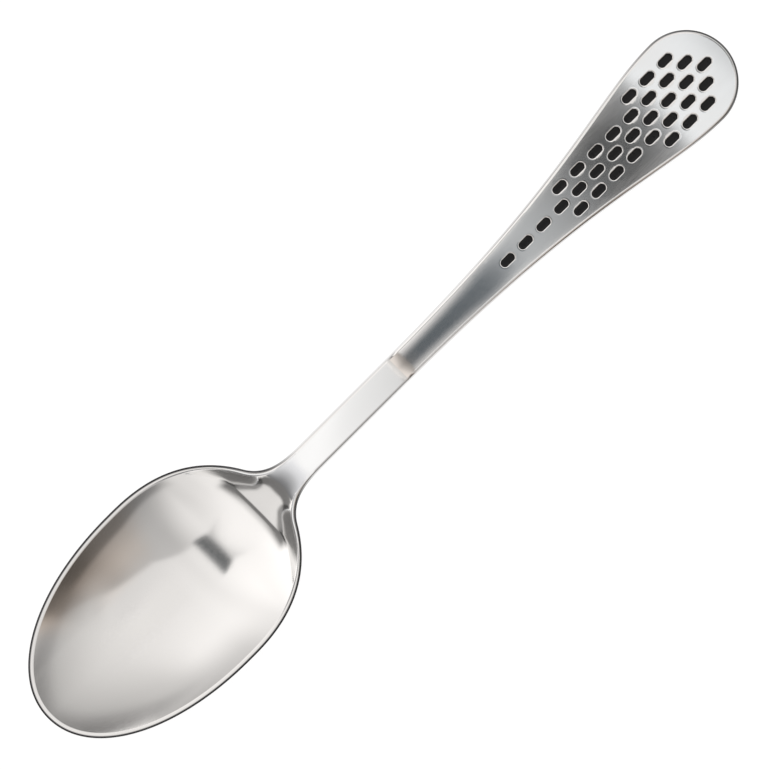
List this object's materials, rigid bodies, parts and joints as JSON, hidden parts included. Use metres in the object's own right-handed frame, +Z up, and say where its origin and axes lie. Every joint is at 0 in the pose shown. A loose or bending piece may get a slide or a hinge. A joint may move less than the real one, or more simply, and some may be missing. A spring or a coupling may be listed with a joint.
{
  "type": "tablespoon",
  "caption": "Stainless steel tablespoon with an egg-shaped bowl, an arched stem and a flared round-ended handle with black-filled grip slots.",
  "frame": {"origin": "middle of the spoon's length and width, on the surface that it lies on", "axes": "+X from the bowl's tip to the handle's end, +Y across the bowl, +Z up out of the bowl"},
  "size_m": [0.206, 0.0436, 0.0196],
  "materials": {
    "steel": "satin",
    "enamel": "gloss"
  },
  "bodies": {
    "root": {"spoon_body": "steel", "slot_fill_01": "enamel", "slot_fill_02": "enamel", "slot_fill_03": "enamel", "slot_fill_04": "enamel", "slot_fill_05": "enamel", "slot_fill_06": "enamel", "slot_fill_07": "enamel", "slot_fill_08": "enamel", "slot_fill_09": "enamel", "slot_fill_10": "enamel", "slot_fill_11": "enamel", "slot_fill_12": "enamel", "slot_fill_13": "enamel", "slot_fill_14": "enamel", "slot_fill_15": "enamel", "slot_fill_16": "enamel", "slot_fill_17": "enamel", "slot_fill_18": "enamel", "slot_fill_19": "enamel", "slot_fill_20": "enamel", "slot_fill_21": "enamel", "slot_fill_22": "enamel", "slot_fill_23": "enamel", "slot_fill_24": "enamel", "slot_fill_25": "enamel", "slot_fill_26": "enamel", "slot_fill_27": "enamel", "slot_fill_28": "enamel", "slot_fill_29": "enamel", "slot_fill_30": "enamel", "slot_fill_31": "enamel", "slot_fill_32": "enamel", "slot_fill_33": "enamel", "slot_fill_34": "enamel"}
  },
  "joints": []
}
